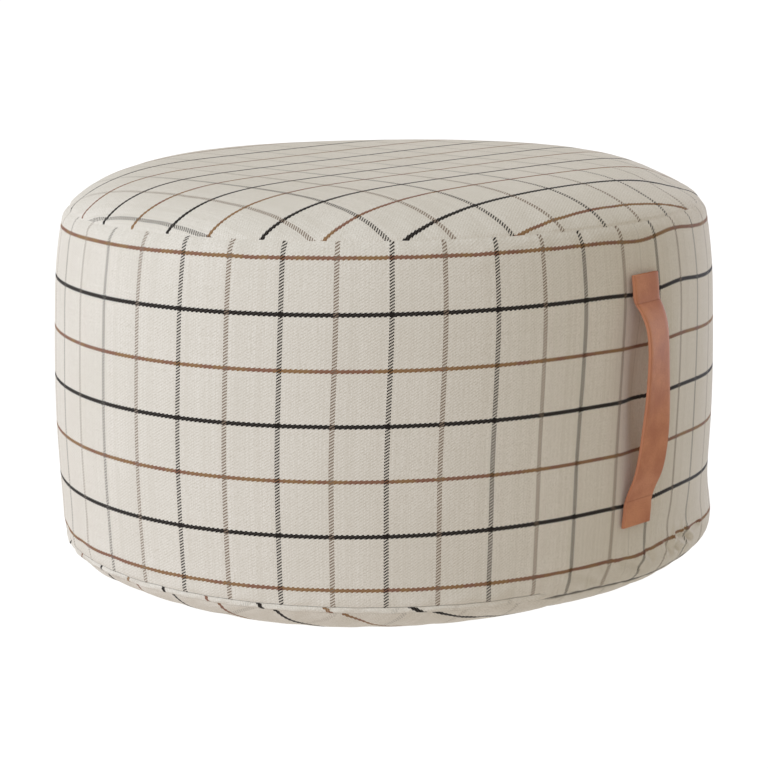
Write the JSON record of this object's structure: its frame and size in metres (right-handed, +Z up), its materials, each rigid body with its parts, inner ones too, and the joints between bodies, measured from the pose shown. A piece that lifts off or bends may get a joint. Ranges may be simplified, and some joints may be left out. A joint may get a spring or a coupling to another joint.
{
  "type": "round floor pouf",
  "caption": "Round filled floor pouf with a softly crowned top, bellied side, turned-under base and a leather carrying handle on its side.",
  "frame": {"origin": "on the pouf's upright axis, in the plane of the flat face that it stands on", "axes": "+Z up; +X from the axis towards the handle on the side; +Y along the side to the handle's left as seen from the middle"},
  "size_m": [0.6211, 0.6, 0.3652],
  "materials": {
    "checked_cloth": "off-white twill with a woven check of black, brown and taupe lines",
    "strap_leather": "smooth pinkish tan leather with a raw edge"
  },
  "bodies": {
    "root": {"pouf_body": "checked_cloth", "handle_strap": "strap_leather"}
  },
  "joints": []
}
